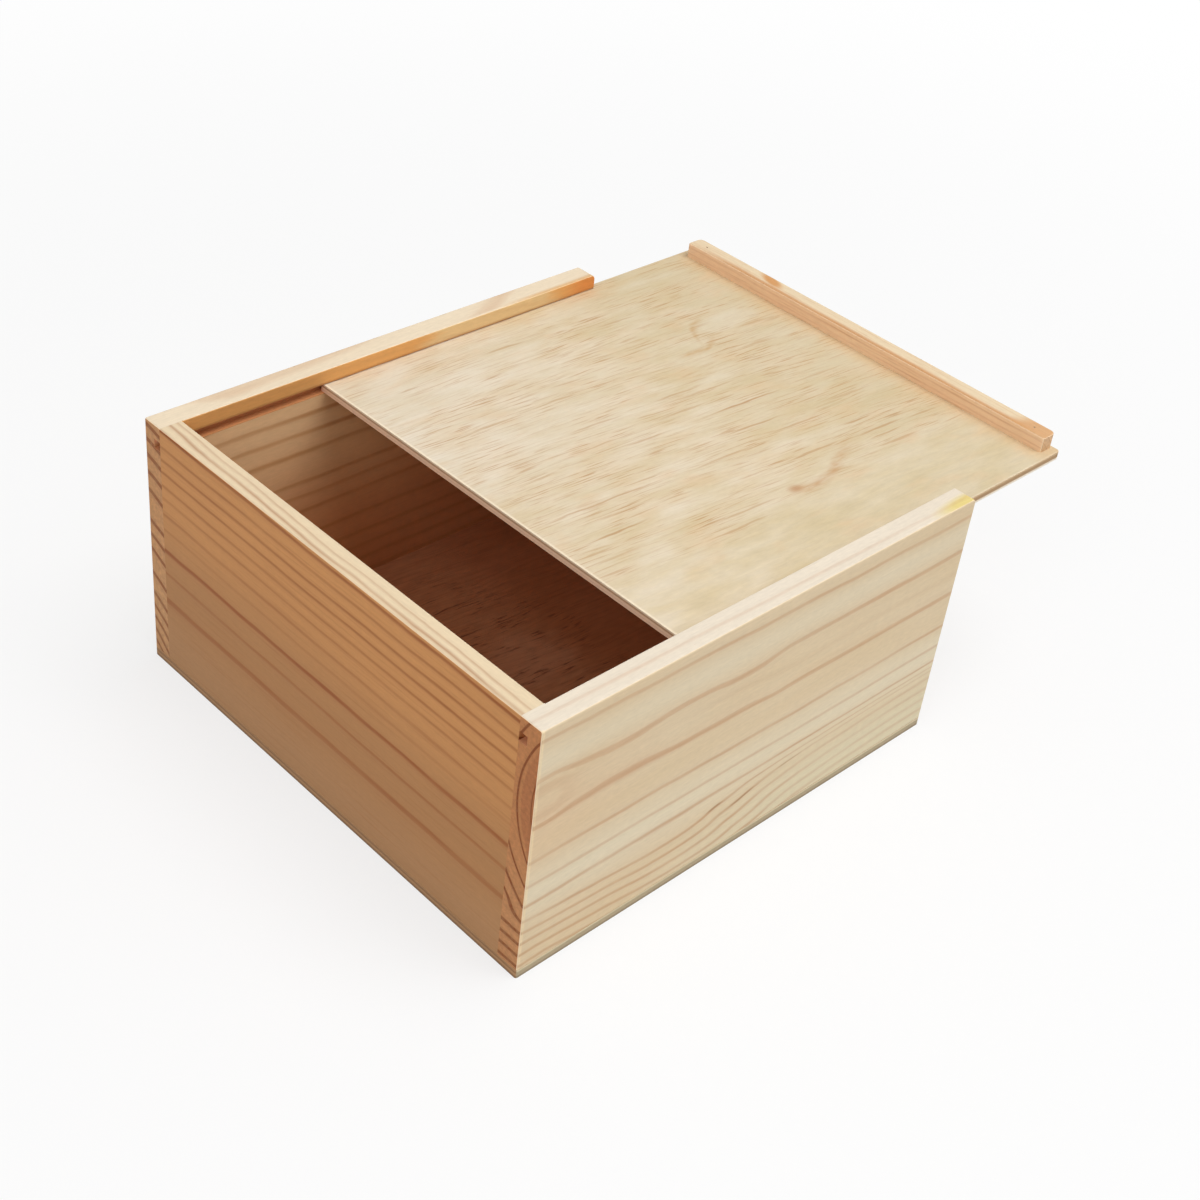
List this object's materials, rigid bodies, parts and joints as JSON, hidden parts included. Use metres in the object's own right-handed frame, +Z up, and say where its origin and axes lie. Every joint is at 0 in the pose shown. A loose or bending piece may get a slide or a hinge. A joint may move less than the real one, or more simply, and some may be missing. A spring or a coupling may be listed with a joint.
{
  "type": "sliding lid wooden box",
  "caption": "Square unfinished pine box with a thin plywood lid that slides in grooves over a low front wall and has a pull strip across its end.",
  "frame": {"origin": "centre of the box's flat underside, where it rests", "axes": "+Z up; +X the way the lid slides out, over the low front wall; the back wall is at -X and the right side wall at -Y"},
  "size_m": [0.26, 0.199, 0.1015],
  "materials": {
    "pine": "bare planed pine, sanded",
    "bottom_plywood": "bare three-ply pine, sanded",
    "lid_plywood": "bare three-ply pine, sanded",
    "strip_pine": "bare planed pine, edges rounded",
    "pin_steel": "plain steel wire"
  },
  "bodies": {
    "box": {"side_wall_right": "pine", "side_wall_left": "pine", "back_wall": "pine", "front_wall": "pine", "bottom_panel": "bottom_plywood", "bottom_pins": "pin_steel"},
    "lid": {"lid_panel": "lid_plywood", "pull_strip": "strip_pine", "strip_pins": "pin_steel"}
  },
  "joints": [
    {"name": "lid_slide", "type": "slide", "parent": "box", "child": "lid", "axis": [1, 0, 0], "range_m": [-0.062, 0.135]}
  ]
}
